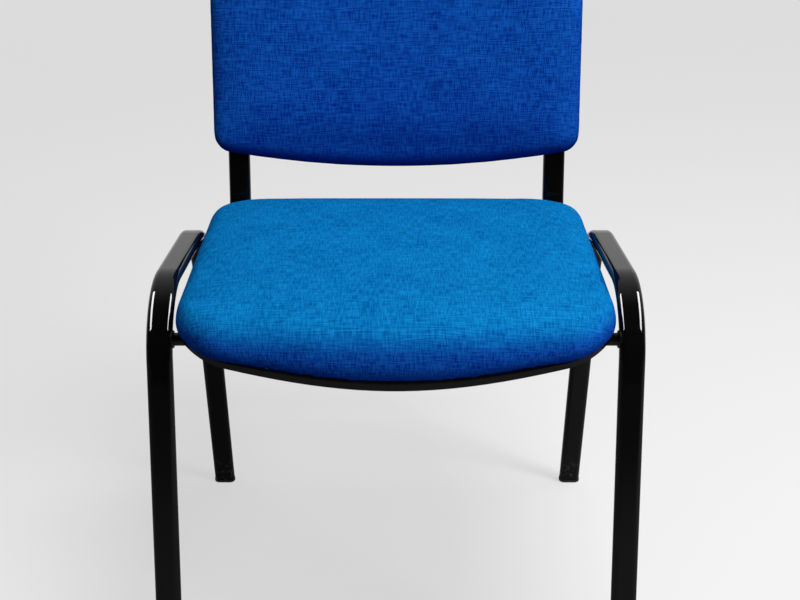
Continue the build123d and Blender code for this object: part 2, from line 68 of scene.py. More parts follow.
# Sizes of the upholstery
seat_cloth_height = 0.035
cushion_voxel = 0.0045
fit_reach = cushion_voxel * 1.5
probe_step = 0.001
solid_merge = 0.00001
board_room = 0.003
skirt_drop = 0.012
skirt_merge = 0.0015
seat_crown = 0.005
back_crown = 0.01
crown_fullness = 4.0
top_swell = 0.0028
side_swell = 0.0005
thread_pitch = 0.0013

# Cloth that swells over the foam
swell_frames = 20
swell_pressure = 4.0
swell_evening = 40
swell_quality = 5
cloth_mass = 0.3
cloth_stiffness = 20.0
cloth_bending = 1.0
underside_facing = -0.3

# Sizes of the welds
weld_radius = 0.0019
weld_ripples = 22
ring_rise = 0.35
ring_inset = 0.1
ring_ripple = 0.16
bead_ripple = 0.14
bead_ripple_pitch = 2.2
bead_bluntness = 8
rear_bead_reach = 0.0058
rear_bead_front_rise = 0.0048
rear_bead_back_rise = 0.0044
front_bead_reach = 0.0052
front_bead_rise = -0.0062

# Colours, linear
enamel_black = (0.002, 0.002, 0.0022, 1.0)
enamel_scuffed = (0.05, 0.05, 0.052, 1.0)
shell_black = (0.0025, 0.0025, 0.0028, 1.0)
shell_dust = (0.008, 0.008, 0.0085, 1.0)
back_shell_black = (0.015, 0.015, 0.0155, 1.0)
back_shell_dust = (0.032, 0.032, 0.033, 1.0)
foot_black = (0.012, 0.012, 0.0125, 1.0)
foot_scuffed = (0.06, 0.058, 0.055, 1.0)
# Painted shade: one fabric in two copies, a lighter lit copy for surfaces facing up and a darker shaded copy
# for upright surfaces
top_lit_thread_dark = (0.0004, 0.072, 0.28, 1.0)
top_lit_thread_light = (0.007, 0.285, 0.69, 1.0)
upright_shaded_thread_dark = (0.0003, 0.006, 0.18, 1.0)
upright_shaded_thread_light = (0.009, 0.12, 0.58, 1.0)
# Painted shadow colour for cloth that faces down
cloth_shadow = (0.0008, 0.016, 0.2, 1.0)
wood_light = (0.56, 0.39, 0.21, 1.0)
wood_dark = (0.34, 0.2, 0.09, 1.0)
zinc_light = (0.66, 0.66, 0.68, 1.0)
zinc_dark = (0.42, 0.43, 0.45, 1.0)
screw_dark = (0.016, 0.016, 0.017, 1.0)
screw_worn = (0.11, 0.11, 0.11, 1.0)
floor_pale = (0.34, 0.34, 0.34, 1.0)
sheen_blue = (0.05, 0.45, 1.0, 1.0)
plain_white = (1.0, 1.0, 1.0, 1.0)

# Gloss: the enamel's reflection, then each shell's smoothest roughness, reflection and relief
enamel_shine = 0.22
seat_shell_gloss = (0.17, 0.24, 0.15)
back_shell_gloss = (0.36, 0.3, 0.6)

# Floor and surround, the floor's reaches in metres
background_pale = 0.77
surround_level = 0.24
mirror_front = 0.03
mirror_turn = (-0.2, 0.7)
floor_size = 40.0
floor_lift_near = 0.53
floor_lift_far = background_pale - surround_level * floor_pale[0]
floor_lift_reach = (1.0, 7.0)
floor_mirror_reach = (0.3, 1.2)

# Lamps, in metres and watts, and the camera
chair_middle = (0, 0, 0.45)
overhead_start = (0.7, -1.0, 3.0)
overhead_end = (0.7, 0.2, 3.0)
overhead_width = 1.2
overhead_power = 51.0
right_start = (2.3, -1.3, 1.4)
right_end = (2.3, -1.3, 2.4)
right_width = 1.0
right_power = 50.0
strip_start = (1.35, -1.74, 2.09)
strip_end = (1.19, 0.71, 2.52)
strip_target = (0.25, -0.25, 0.42)
strip_width = 0.9
strip_power = 330.0
camera_place = (0.0044, -1.4308, 1.0687)
camera_tilt = math.radians(64.53)
camera_sensor = 36.0
camera_lens = 59.04

# Places of the seat and the back
sole_rows = [mount["pos_m"][1] for mount in frame["record"]["mounts"]]
depth_shift = sum(sole_rows) / len(sole_rows)
seat_along = Vector((0, math.cos(seat_tilt), -math.sin(seat_tilt)))
seat_up = Vector((0, math.sin(seat_tilt), math.cos(seat_tilt)))
seat_origin = Vector((0, depth_shift, seat_height))
back_up = Vector((0, math.sin(back_lean), math.cos(back_lean)))
back_front = Vector((0, -math.cos(back_lean), math.sin(back_lean)))
back_origin = (
    seat_origin
    + seat_along * support_rear
    - seat_up * tube_thickness / 2
    + back_up * (back_seat_rise + tube_thickness)
)


# Plain helpers
def deselect_all():
    if bpy.context.object and bpy.context.object.mode != "OBJECT":
        bpy.ops.object.mode_set(mode="OBJECT")
    bpy.ops.object.select_all(action="DESELECT")


def make_active(piece):
    deselect_all()
    piece.select_set(True)
    bpy.context.view_layer.objects.active = piece


def apply_modifier(piece, kind, **settings):
    make_active(piece)
    modifier = piece.modifiers.new(kind.lower(), kind)
    for name, value in settings.items():
        setattr(modifier, name, value)
    bpy.ops.object.modifier_apply(modifier=modifier.name)


def settle(piece):
    make_active(piece)
    bpy.ops.object.transform_apply(location=True, rotation=True, scale=True)


def points_of(mesh):
    flat = np.zeros(len(mesh.vertices) * 3, np.float32)
    mesh.vertices.foreach_get("co", flat)
    return flat.reshape(-1, 3).astype(float)


def normals_of(mesh):
    flat = np.zeros(len(mesh.vertices) * 3, np.float32)
    mesh.vertex_normals.foreach_get("vector", flat)
    return flat.reshape(-1, 3).astype(float)


def place_points(mesh, points):
    mesh.vertices.foreach_set("co", points.astype(np.float32).ravel())
    mesh.update()


# Node helpers
def feed(tree, socket, value):
    if isinstance(value, bpy.types.NodeSocket):
        tree.links.new(value, socket)
    else:
        socket.default_value = value


def add_node(tree, kind, inputs=None, **settings):
    made = tree.nodes.new(kind)
    for name, value in settings.items():
        setattr(made, name, value)
    for socket, value in (inputs or {}).items():
        feed(tree, made.inputs[socket], value)
    return made


def add_noise(tree, place, scale, detail):
    inputs = {"Vector": place, "Scale": scale, "Detail": detail}
    return add_node(tree, "ShaderNodeTexNoise", inputs).outputs["Fac"]


def math_node(tree, operation, first, second=0.0):
    return add_node(tree, "ShaderNodeMath", {0: first, 1: second}, operation=operation).outputs[0]


def ramp_between(tree, value, low, high, start=0.0, end=1.0):
    inputs = {"Value": value, "From Min": low, "From Max": high, "To Min": start, "To Max": end}
    made = add_node(tree, "ShaderNodeMapRange", inputs, interpolation_type="SMOOTHSTEP")
    return made.outputs["Result"]


def mix_colours(tree, share, first, second, blend="MIX"):
    made = add_node(tree, "ShaderNodeMix", data_type="RGBA", blend_type=blend)
    feed(tree, made.inputs[0], share)
    feed(tree, made.inputs[6], first)
    feed(tree, made.inputs[7], second)
    return made.outputs[2]


def start_group(name, inputs, outputs):
    tree = bpy.data.node_groups.new(name, "ShaderNodeTree")
    for socket, kind in inputs:
        tree.interface.new_socket(socket, in_out="INPUT", socket_type=kind)
    for socket in outputs:
        tree.interface.new_socket(socket, in_out="OUTPUT", socket_type="NodeSocketFloat")
    entry = tree.nodes.new("NodeGroupInput")
    leave = tree.nodes.new("NodeGroupOutput")
    return tree, entry.outputs, leave.inputs


def place_group(tree, group, inputs):
    made = tree.nodes.new("ShaderNodeGroup")
    made.node_tree = group
    for socket, value in inputs.items():
        feed(tree, made.inputs[socket], value)
    return made.outputs


def start_material(name):
    made = bpy.data.materials.new(name)
    made.use_nodes = True
    tree = made.node_tree
    shader = next(n for n in tree.nodes if n.type == "BSDF_PRINCIPLED")
    return made, tree, shader


def set_shader(tree, shader, inputs):
    for socket, value in inputs.items():
        feed(tree, shader.inputs[socket], value)


def set_relief(tree, shader, height, strength, depth):
    inputs = {"Height": height, "Strength": strength, "Distance": depth}
    relief = add_node(tree, "ShaderNodeBump", inputs)
    tree.links.new(relief.outputs["Normal"], shader.inputs["Normal"])


def object_place(tree):
    return add_node(tree, "ShaderNodeTexCoord").outputs["Object"]


# Uneven surface: fine grain, slow mottling and scratches
def make_uneven_group():
    tree, entry, leave = start_group(
        "uneven_surface",
        [
            ("Place", "NodeSocketVector"),
            ("Grain Scale", "NodeSocketFloat"),
            ("Mottle Scale", "NodeSocketFloat"),
        ],
        ["Grain", "Mottle", "Scratches"],
    )
    grain = add_noise(tree, entry["Place"], entry["Grain Scale"], 3.0)
    mottle = add_noise(tree, entry["Place"], entry["Mottle Scale"], 4.0)
    stretch = {"Vector": entry["Place"], "Rotation": (0.4, 0.9, 0.3), "Scale": (900, 60, 35)}
    stretched = add_node(tree, "ShaderNodeMapping", stretch)
    marks = add_noise(tree, stretched.outputs[0], 1.0, 2.0)
    tree.links.new(grain, leave["Grain"])
    tree.links.new(mottle, leave["Mottle"])
    tree.links.new(ramp_between(tree, marks, 0.66, 0.74), leave["Scratches"])
    return tree


# Wear that gathers near the floor
def make_floor_wear_group():
    tree, entry, leave = start_group(
        "floor_wear", [("Place", "NodeSocketVector"), ("Reach", "NodeSocketFloat")], ["Wear"]
    )
    height = add_node(tree, "ShaderNodeSeparateXYZ", {0: entry["Place"]}).outputs["Z"]
    share = math_node(tree, "DIVIDE", height, entry["Reach"])
    low = ramp_between(tree, share, 0.0, 1.0, 1.0, 0.0)
    broken = add_noise(tree, entry["Place"], 160.0, 5.0)
    patches = ramp_between(tree, broken, 0.5, 0.68)
    tree.links.new(math_node(tree, "MULTIPLY", low, patches), leave["Wear"])
    return tree


# Plain weave: threads over and under, uneven from thread to thread, with thicker slubs across
def make_weave_group():
    tree, entry, leave = start_group(
        "plain_weave",
        [("Place", "NodeSocketVector"), ("Threads", "NodeSocketFloat")],
        ["Over", "Height", "Streak", "Slub", "Patch"],
    )
    parts = add_node(tree, "ShaderNodeSeparateXYZ", {0: entry["Place"]})
    across = math_node(tree, "MULTIPLY", parts.outputs["X"], entry["Threads"])
    along = math_node(tree, "MULTIPLY", parts.outputs["Y"], entry["Threads"])
    wave_across = math_node(tree, "SINE", math_node(tree, "MULTIPLY", across, math.pi))
    wave_along = math_node(tree, "SINE", math_node(tree, "MULTIPLY", along, math.pi))
    crossing = math_node(tree, "MULTIPLY", wave_across, wave_along)
    over = ramp_between(tree, crossing, -0.12, 0.12)
    pillow = math_node(tree, "POWER", math_node(tree, "ABSOLUTE", crossing), 0.55)

    def thread_noise(x_scale, y_scale, detail):
        x = math_node(tree, "MULTIPLY", across, x_scale)
        y = math_node(tree, "MULTIPLY", along, y_scale)
        flat = add_node(tree, "ShaderNodeCombineXYZ", {"X": x, "Y": y})
        return add_noise(tree, flat.outputs[0], 1.0, detail)

    warp = thread_noise(0.8, 0.09, 2.0)
    weft = thread_noise(0.07, 0.8, 2.0)
    share = math_node(tree, "MULTIPLY", over, warp)
    rest = math_node(tree, "MULTIPLY", math_node(tree, "SUBTRACT", 1.0, over), weft)
    slub = ramp_between(tree, thread_noise(0.01, 0.4, 3.0), 0.58, 0.74)
    tree.links.new(over, leave["Over"])
    tree.links.new(pillow, leave["Height"])
    tree.links.new(math_node(tree, "ADD", share, rest), leave["Streak"])
    tree.links.new(slub, leave["Slub"])
    tree.links.new(thread_noise(0.02, 0.02, 3.0), leave["Patch"])
    return tree


uneven_surface = make_uneven_group()
floor_wear = make_floor_wear_group()
plain_weave = make_weave_group()


# Finishes of the frame, the shells, the feet, the cloth, the boards and the fasteners
def lay_surface(tree, place, grain_scale, mottle_scale):
    inputs = {"Place": place, "Grain Scale": grain_scale, "Mottle Scale": mottle_scale}
    return place_group(tree, uneven_surface, inputs)


def make_enamel():
    made, tree, shader = start_material("gloss_black_enamel")
    place = object_place(tree)
    surface = lay_surface(tree, place, 420.0, 14.0)
    wear = place_group(tree, floor_wear, {"Place": place, "Reach": 0.07})["Wear"]
    gloss = ramp_between(tree, surface["Mottle"], 0.3, 0.7, 0.02, 0.035)
    scratched = math_node(tree, "MULTIPLY", surface["Scratches"], 0.06)
    worn = math_node(tree, "MULTIPLY", wear, 0.3)
    roughness = math_node(tree, "ADD", math_node(tree, "ADD", gloss, scratched), worn)
    colour = mix_colours(tree, math_node(tree, "MULTIPLY", wear, 0.6), enamel_black, enamel_scuffed)
    set_shader(tree, shader, {"Base Color": colour, "Roughness": roughness})
    set_shader(tree, shader, {"Specular IOR Level": enamel_shine})
    set_relief(tree, shader, surface["Mottle"], 0.02, 0.0005)
    return made


def make_shell_plastic(name, black, dusty, gloss):
    smoothest, shine, relief = gloss
    made, tree, shader = start_material(name)
    place = object_place(tree)
    surface = lay_surface(tree, place, 1500.0, 9.0)
    cells = add_node(tree, "ShaderNodeTexVoronoi", {"Vector": place, "Scale": 620.0}, feature="SMOOTH_F1")
    pebbles = cells.outputs["Distance"]
    height = math_node(tree, "ADD", pebbles, math_node(tree, "MULTIPLY", surface["Grain"], 0.35))
    dust = ramp_between(tree, surface["Mottle"], 0.52, 0.75, 0.0, 0.5)
    colour = mix_colours(tree, dust, black, dusty)
    roughness = ramp_between(tree, surface["Mottle"], 0.3, 0.7, smoothest, smoothest + 0.08)
    scratched = math_node(tree, "MULTIPLY", surface["Scratches"], 0.12)
    roughness = math_node(tree, "ADD", roughness, scratched)
    set_shader(tree, shader, {"Base Color": colour, "Roughness": roughness, "Specular IOR Level": shine})
    set_relief(tree, shader, height, relief, 0.0004)
    return made


def make_foot_plastic():
    made, tree, shader = start_material("foot_plastic")
    place = object_place(tree)
    surface = lay_surface(tree, place, 900.0, 40.0)
    wear = place_group(tree, floor_wear, {"Place": place, "Reach": 0.006})["Wear"]
    colour = mix_colours(tree, wear, foot_black, foot_scuffed)
    roughness = ramp_between(tree, surface["Mottle"], 0.3, 0.7, 0.42, 0.58)
    roughness = math_node(tree, "ADD", roughness, math_node(tree, "MULTIPLY", wear, 0.3))
    set_shader(tree, shader, {"Base Color": colour, "Roughness": roughness})
    set_relief(tree, shader, surface["Grain"], 0.25, 0.0004)
    return made


def make_cloth():
    made, tree, shader = start_material("blue_woven_cloth")
    place = add_node(tree, "ShaderNodeUVMap", uv_map="weave").outputs["UV"]
    weave = place_group(tree, plain_weave, {"Place": place, "Threads": 1.0 / thread_pitch})
    # Painted shade: the threads take the lighter lit colours where the surface faces up and the darker shaded
    # colours where it stands upright
    facing = add_node(tree, "ShaderNodeTexCoord").outputs["Normal"]
    rise = add_node(tree, "ShaderNodeSeparateXYZ", {0: facing}).outputs["Z"]
    top_lit_share = ramp_between(tree, rise, 0.1, 0.97)
    # Painted shadow: cloth facing down is mixed towards the dark shadow colour
    underside_shade_share = ramp_between(tree, rise, 0.2, -0.6)
    dark = mix_colours(tree, top_lit_share, upright_shaded_thread_dark, top_lit_thread_dark)
    light = mix_colours(tree, top_lit_share, upright_shaded_thread_light, top_lit_thread_light)
    share = ramp_between(tree, weave["Streak"], 0.36, 0.64, 0.0, 0.72)
    share = math_node(tree, "ADD", share, ramp_between(tree, weave["Patch"], 0.3, 0.7, 0.0, 0.14))
    share = math_node(tree, "ADD", share, math_node(tree, "MULTIPLY", weave["Over"], 0.1))
    share = math_node(tree, "ADD", share, math_node(tree, "MULTIPLY", weave["Slub"], 0.3))
    tone = mix_colours(tree, share, dark, light)
    tone = mix_colours(tree, underside_shade_share, tone, cloth_shadow)
    # Painted shade: the colour darkens in the low gaps between the threads
    thread_gap_shade = ramp_between(tree, weave["Height"], 0.0, 0.8, 0.5, 1.1)
    grey = add_node(tree, "ShaderNodeCombineColor", {0: thread_gap_shade, 1: thread_gap_shade, 2: thread_gap_shade}).outputs[0]
    tint = mix_colours(tree, 1.0, tone, grey, "MULTIPLY")
    roughness = ramp_between(tree, weave["Over"], 0.0, 1.0, 0.78, 0.9)
    set_shader(tree, shader, {"Base Color": tint, "Roughness": roughness, "Specular IOR Level": 0.0})
    set_shader(tree, shader, {"Sheen Weight": 0.015, "Sheen Roughness": 0.4, "Sheen Tint": sheen_blue})
    height = math_node(tree, "ADD", weave["Height"], math_node(tree, "MULTIPLY", weave["Slub"], 0.5))
    set_relief(tree, shader, height, 0.55, 0.0004)
    return made


def make_plywood():
    made, tree, shader = start_material("plywood")
    place = object_place(tree)
    surface = lay_surface(tree, place, 700.0, 8.0)
    stretched = add_node(tree, "ShaderNodeMapping", {"Vector": place, "Scale": (70.0, 4.0, 900.0)})
    figure = {"Vector": stretched.outputs[0], "Scale": 1.0, "Detail": 6.0, "Distortion": 0.6}
    grain = add_node(tree, "ShaderNodeTexNoise", figure).outputs["Fac"]
    colour = mix_colours(tree, ramp_between(tree, grain, 0.35, 0.7), wood_light, wood_dark)
    roughness = ramp_between(tree, surface["Mottle"], 0.3, 0.7, 0.6, 0.75)
    set_shader(tree, shader, {"Base Color": colour, "Roughness": roughness})
    set_relief(tree, shader, grain, 0.2, 0.0005)
    return made


def make_zinc():
    made, tree, shader = start_material("zinc_plate")
    place = object_place(tree)
    surface = lay_surface(tree, place, 1200.0, 90.0)
    colour = mix_colours(tree, ramp_between(tree, surface["Mottle"], 0.35, 0.7), zinc_light, zinc_dark)
    roughness = ramp_between(tree, surface["Grain"], 0.3, 0.7, 0.28, 0.45)
    set_shader(tree, shader, {"Base Color": colour, "Roughness": roughness, "Metallic": 1.0})
    set_relief(tree, shader, surface["Grain"], 0.1, 0.0002)
    return made


def make_dark_screw():
    made, tree, shader = start_material("blackened_screw")
    place = object_place(tree)
    surface = lay_surface(tree, place, 1100.0, 150.0)
    colour = mix_colours(tree, ramp_between(tree, surface["Mottle"], 0.55, 0.75), screw_dark, screw_worn)
    roughness = ramp_between(tree, surface["Grain"], 0.3, 0.7, 0.3, 0.5)
    set_shader(tree, shader, {"Base Color": colour, "Roughness": roughness, "Metallic": 0.7})
    set_relief(tree, shader, surface["Grain"], 0.12, 0.0002)
    return made


enamel = make_enamel()
shell_plastic = make_shell_plastic("moulded_shell_plastic", shell_black, shell_dust, seat_shell_gloss)
back_shell_plastic = make_shell_plastic(
    "pebbled_shell_plastic", back_shell_black, back_shell_dust, back_shell_gloss
)
foot_plastic = make_foot_plastic()
cloth = make_cloth()
plywood = make_plywood()
zinc = make_zinc()
dark_screw = make_dark_screw()
finish_of_slot = {
    "black_enamel": enamel,
    "black_plastic": foot_plastic,
    "shell_plastic": shell_plastic,
    "plywood": plywood,
    "foam": cloth,
    "blue_fabric": cloth,
    "zinc_steel": zinc,
    "dark_screws": dark_screw,
}


def give_material(piece, finish):
    piece.data.materials.clear()
    piece.data.materials.append(finish)


for subpart in frame["record"]["subparts"]:
    give_material(nodes[subpart["node"]], finish_of_slot[subpart["material_slot"]])
give_material(nodes["back_shell"], back_shell_plastic)


# Cushions: places are given across the chair, along the cloth and out towards the sitter
def seat_place(points):
    moved = points - np.array(seat_origin)
    y = moved @ np.array(seat_along)
    z = moved @ np.array(seat_up)
    ahead = np.minimum(y - seat_bend_start, 0.0)
    reach = np.hypot(ahead, z + seat_bend_radius)
    turn = np.arctan2(-ahead, z + seat_bend_radius)
    height = np.where(ahead < 0, reach - seat_bend_radius, z)
    along = np.where(ahead < 0, seat_bend_start - turn * (seat_bend_radius + seat_cloth_height), y)
    return np.stack([points[:, 0], along, height], axis=1)


def seat_rise(points):
    moved = points - np.array(seat_origin)
    ahead = np.minimum(moved @ np.array(seat_along) - seat_bend_start, 0.0)
    upward = moved @ np.array(seat_up) + seat_bend_radius
    rise = ahead[:, None] * np.array(seat_along) + upward[:, None] * np.array(seat_up)
    return rise / np.linalg.norm(rise, axis=1)[:, None]


def back_place(points):
    moved = points - np.array(back_origin)
    along = moved @ np.array(back_up)
    z = moved @ np.array(back_front)
    bow = back_curve - np.sqrt(back_curve**2 - points[:, 0] ** 2)
    return np.stack([points[:, 0], along, z - back_board_rear - bow], axis=1)


def back_rise(points):
    return np.tile(np.array(back_front), (len(points), 1))


def directions(place, points, normals):
    step = place(points + normals * probe_step) - place(points)
    return step / np.linalg.norm(step, axis=1)[:, None]


def fit_to_solids(piece, solids):
    points = points_of(piece.data)
    normals = normals_of(piece.data)
    for number, (point, normal) in enumerate(zip(points, normals)):
        outside = Vector(point + normal * fit_reach)
        hit = solids.ray_cast(outside, Vector(-normal), 2 * fit_reach)[0]
        if hit:
            points[number] = hit
    place_points(piece.data, points)


def merge_close(piece, distance):
    make_active(piece)
    bpy.ops.object.mode_set(mode="EDIT")
    bpy.ops.mesh.select_all(action="SELECT")
    bpy.ops.mesh.remove_doubles(threshold=distance)
    bpy.ops.mesh.normals_make_consistent(inside=False)
    bpy.ops.object.mode_set(mode="OBJECT")


# The cushion starts as foam, cover and board in one skin, fitted to the solids
def start_cushion(name, parts, place, rise_of):
    deselect_all()
    for part in parts:
        copy = bpy.data.objects.new(name, nodes[part].data.copy())
        bpy.context.scene.collection.objects.link(copy)
        copy.select_set(True)
        bpy.context.view_layer.objects.active = copy
    bpy.ops.object.join()
    made = bpy.context.object
    made.name = name
    bpy.ops.object.mode_set(mode="EDIT")
    bpy.ops.mesh.select_all(action="SELECT")
    bpy.ops.mesh.remove_doubles(threshold=solid_merge)
    bpy.ops.object.mode_set(mode="OBJECT")
    points = points_of(made.data)
    height = place(points)[:, 2]
    edge = height.min()
    drop = np.where(height < edge + foam_clearance, skirt_drop, 0.0)
    place_points(made.data, points - rise_of(points) * drop[:, None])
    solids = BVHTree.FromObject(made, bpy.context.evaluated_depsgraph_get())
    apply_modifier(made, "REMESH", mode="VOXEL", voxel_size=cushion_voxel)
    fit_to_solids(made, solids)
    apply_modifier(made, "SMOOTH", factor=0.5, iterations=1)
    points = points_of(made.data)
    below = np.maximum(edge - place(points)[:, 2], 0.0)
    place_points(made.data, points + rise_of(points) * below[:, None])
    merge_close(made, skirt_merge)
    return made


# The pad falls away towards its edges, as a stuffed pillow does
def crown(piece, place, rise_of, top, depth):
    points = points_of(piece.data)
    spots = place(points)
    low, high = spots.min(axis=0), spots.max(axis=0)
    reach = np.abs((2 * spots - low - high) / (high - low))[:, :2] ** crown_fullness
    fall = 1.0 - (1.0 - reach[:, 0]) * (1.0 - reach[:, 1])
    share = np.clip((spots[:, 2] - low[2]) / (top - low[2]), 0.0, 1.0)
    place_points(piece.data, points - rise_of(points) * (depth * fall * share)[:, None])


# The swelling is shared with the neighbouring points, so the cloth lies without creases
def even_out(mesh, moves):
    ends = np.zeros(2 * len(mesh.edges), np.int32)
    mesh.edges.foreach_get("vertices", ends)
    ends = ends.reshape(-1, 2)
    neighbours = np.bincount(ends.ravel(), minlength=len(moves))[:, None]
    for _ in range(swell_evening):
        total = np.zeros_like(moves)
        np.add.at(total, ends[:, 0], moves[ends[:, 1]])
        np.add.at(total, ends[:, 1], moves[ends[:, 0]])
        moves = (moves + total / neighbours) / 2
    return moves


def swell(piece, held, limit):
    start = points_of(piece.data)
    group = piece.vertex_groups.new(name="held")
    group.add([int(i) for i in np.nonzero(held)[0]], 1.0, "REPLACE")
    make_active(piece)
    modifier = piece.modifiers.new("swelling", "CLOTH")
    settings = modifier.settings
    settings.quality = swell_quality
    settings.mass = cloth_mass
    settings.tension_stiffness = cloth_stiffness
    settings.compression_stiffness = cloth_stiffness
    settings.bending_stiffness = cloth_bending
    settings.use_pressure = True
    settings.uniform_pressure_force = swell_pressure
    settings.vertex_group_mass = "held"
    settings.effector_weights.gravity = 0.0
    modifier.point_cache.frame_start = 1
    modifier.point_cache.frame_end = swell_frames
    for number in range(1, swell_frames + 1):
        bpy.context.scene.frame_set(number)
    bpy.ops.object.modifier_apply(modifier=modifier.name)
    bpy.context.scene.frame_set(1)
    move = points_of(piece.data) - start
    length = np.maximum(np.linalg.norm(move, axis=1), 1e-9)
    share = limit * np.tanh(length / limit) / length
    move = even_out(piece.data, move * share[:, None])
    move[held] = 0.0
    place_points(piece.data, start + move)
    piece.vertex_groups.clear()


def finish_cushion(piece, place, rise_of, board, board_top):
    points = points_of(piece.data)
    normals = normals_of(piece.data)
    facing = directions(place, points, normals)[:, 2]
    height = place(points)[:, 2]
    shape = BVHTree.FromObject(nodes[board], bpy.context.evaluated_depsgraph_get())
    gap = np.array([shape.find_nearest(Vector(point))[3] for point in points])
    under_board = (height < board_top - board_thickness + foam_clearance) & (gap < board_room)
    lift = np.where(under_board, board_top + foam_clearance - height, 0.0)
    limit = side_swell + top_swell * np.clip(facing, 0.0, 1.0)
    swell(piece, facing < underside_facing, limit)
    points = points_of(piece.data)
    place_points(piece.data, points + rise_of(points) * lift[:, None])
    apply_modifier(piece, "SUBSURF", levels=1, render_levels=1)
    make_active(piece)
    bpy.ops.object.shade_smooth()


# The weave runs over the top and on down the sides
def lay_weave(piece, place, top):
    mesh = piece.data
    points = points_of(mesh)
    spots = place(points)
    outward = directions(place, points, normals_of(mesh))
    drop = np.maximum(top - spots[:, 2], 0.0)
    flat = spots[:, :2] + outward[:, :2] * drop[:, None]
    corners = np.zeros(len(mesh.loops), np.int32)
    mesh.loops.foreach_get("vertex_index", corners)
    layer = mesh.uv_layers.new(name="weave")
    layer.data.foreach_set("uv", flat[corners].astype(np.float32).ravel())


def make_cushion(name, foam, cover, board, place, rise_of, board_top, top, crown_depth):
    made = start_cushion(name, (foam, cover, board), place, rise_of)
    crown(made, place, rise_of, top, crown_depth)
    finish_cushion(made, place, rise_of, board, board_top)
    lay_weave(made, place, top)
    give_material(made, cloth)
    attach(made, root)
    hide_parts(foam, cover)


make_cushion(
    "seat_cushion",
    "seat_foam",
    "seat_cover",
    "seat_board",
    seat_place,
    seat_rise,
    seat_board_top,
    seat_top,
    seat_crown,
)
make_cushion(
    "back_cushion",
    "back_foam",
    "back_cover",
    "back_board",
    back_place,
    back_rise,
    board_thickness,
    back_top,
    back_crown,
)


# Welds: rippled rings where the cross tubes meet the side frames, and short beads at the rails
def finish_weld(made):
    bpy.ops.object.shade_smooth()
    give_material(made, enamel)
    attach(made, root)


def weld_ring(name, side, tube):
    low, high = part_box(tube)
    middle = (low + high) / 2
    tube_radius = (high.z - low.z) / 2
    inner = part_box("side_frame_right")[0].x
    deselect_all()
    bpy.ops.mesh.primitive_torus_add(
        major_radius=tube_radius + weld_radius * ring_rise,
        minor_radius=weld_radius,
        major_segments=weld_ripples * 4,
        minor_segments=10,
        location=(side * (inner - weld_radius * ring_inset), middle.y, middle.z),
        rotation=(0, math.pi / 2, 0),
    )
    made = bpy.context.object
    made.name = name
    settle(made)
    points = points_of(made.data)
    y = points[:, 1] - middle.y
    z = points[:, 2] - middle.z
    angle = np.arctan2(z, y)
    reach = np.hypot(y, z)
    wave = ring_ripple * weld_radius * np.sin(angle * weld_ripples)
    share = (reach + wave) / reach
    points[:, 1] = middle.y + y * share
    points[:, 2] = middle.z + z * share
    place_points(made.data, points)
    finish_weld(made)


for side, word in ((-1, "left"), (1, "right")):
    weld_ring("front_weld_" + word, side, "front_cross_tube")
    weld_ring("rear_weld_" + word, side, "rear_cross_tube")


def weld_bead(name, rail, tube, behind, above):
    rail_low, rail_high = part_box(rail)
    low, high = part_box(tube)
    middle = (low + high) / 2
    length = rail_high.x - rail_low.x - weld_radius
    centre = ((rail_low.x + rail_high.x) / 2, middle.y + behind, middle.z + above)
    deselect_all()
    bpy.ops.mesh.primitive_uv_sphere_add(segments=12, ring_count=48, radius=1.0, location=(0, 0, 0))
    made = bpy.context.object
    made.name = name
    points = points_of(made.data)
    share = points[:, 2]
    blunt = np.sqrt(np.maximum(1 - np.abs(share) ** bead_bluntness, 0.0))
    body = blunt / np.sqrt(np.maximum(1 - share**2, 1e-6))
    body = np.where(np.abs(share) > 0.9999, 0.0, body)
    wave = 1 + bead_ripple * np.sin(share * length / weld_radius * bead_ripple_pitch)
    across = points[:, :2] * (body * wave)[:, None] * weld_radius
    x = share * length / 2 + centre[0]
    y = across[:, 0] + centre[1]
    z = across[:, 1] + centre[2]
    place_points(made.data, np.stack([x, y, z], axis=1))
    make_active(made)
    bpy.ops.object.mode_set(mode="EDIT")
    bpy.ops.mesh.select_all(action="SELECT")
    bpy.ops.mesh.normals_make_consistent(inside=False)
    bpy.ops.object.mode_set(mode="OBJECT")
    finish_weld(made)


for word in ("left", "right"):
    rail = "back_support_" + word
    weld_bead("rear_rail_weld_front_" + word, rail, "rear_cross_tube", -rear_bead_reach, rear_bead_front_rise)
    weld_bead("rear_rail_weld_back_" + word, rail, "rear_cross_tube", rear_bead_reach, rear_bead_back_rise)
    weld_bead("front_rail_weld_" + word, rail, "front_cross_tube", front_bead_reach, front_bead_rise)


# Floor: pale to the eye all round, and pale in reflections only behind the chair
deselect_all()
bpy.ops.mesh.primitive_grid_add(x_subdivisions=4, y_subdivisions=4, size=floor_size, location=(0, 0, 0))
floor = bpy.context.object
floor.name = "floor"
floor_finish, floor_tree, floor_shader = start_material("pale_floor")
floor_place = object_place(floor_tree)
floor_noise = add_noise(floor_tree, floor_place, 3.0, 2.0)
floor_rough = ramp_between(floor_tree, floor_noise, 0.3, 0.7, 0.85, 0.95)
floor_rays = add_node(floor_tree, "ShaderNodeLightPath").outputs
floor_span = add_node(floor_tree, "ShaderNodeVectorMath", {0: floor_place}, operation="LENGTH")
floor_reach = floor_span.outputs["Value"]
floor_lift = ramp_between(floor_tree, floor_reach, *floor_lift_reach, floor_lift_near, floor_lift_far)
floor_depth = add_node(floor_tree, "ShaderNodeSeparateXYZ", {0: floor_place}).outputs["Y"]
floor_behind = ramp_between(floor_tree, floor_depth, *floor_mirror_reach)
floor_mirrored = math_node(floor_tree, "MULTIPLY", floor_rays["Is Glossy Ray"], floor_behind)
floor_seen = math_node(floor_tree, "ADD", floor_rays["Is Camera Ray"], floor_mirrored)
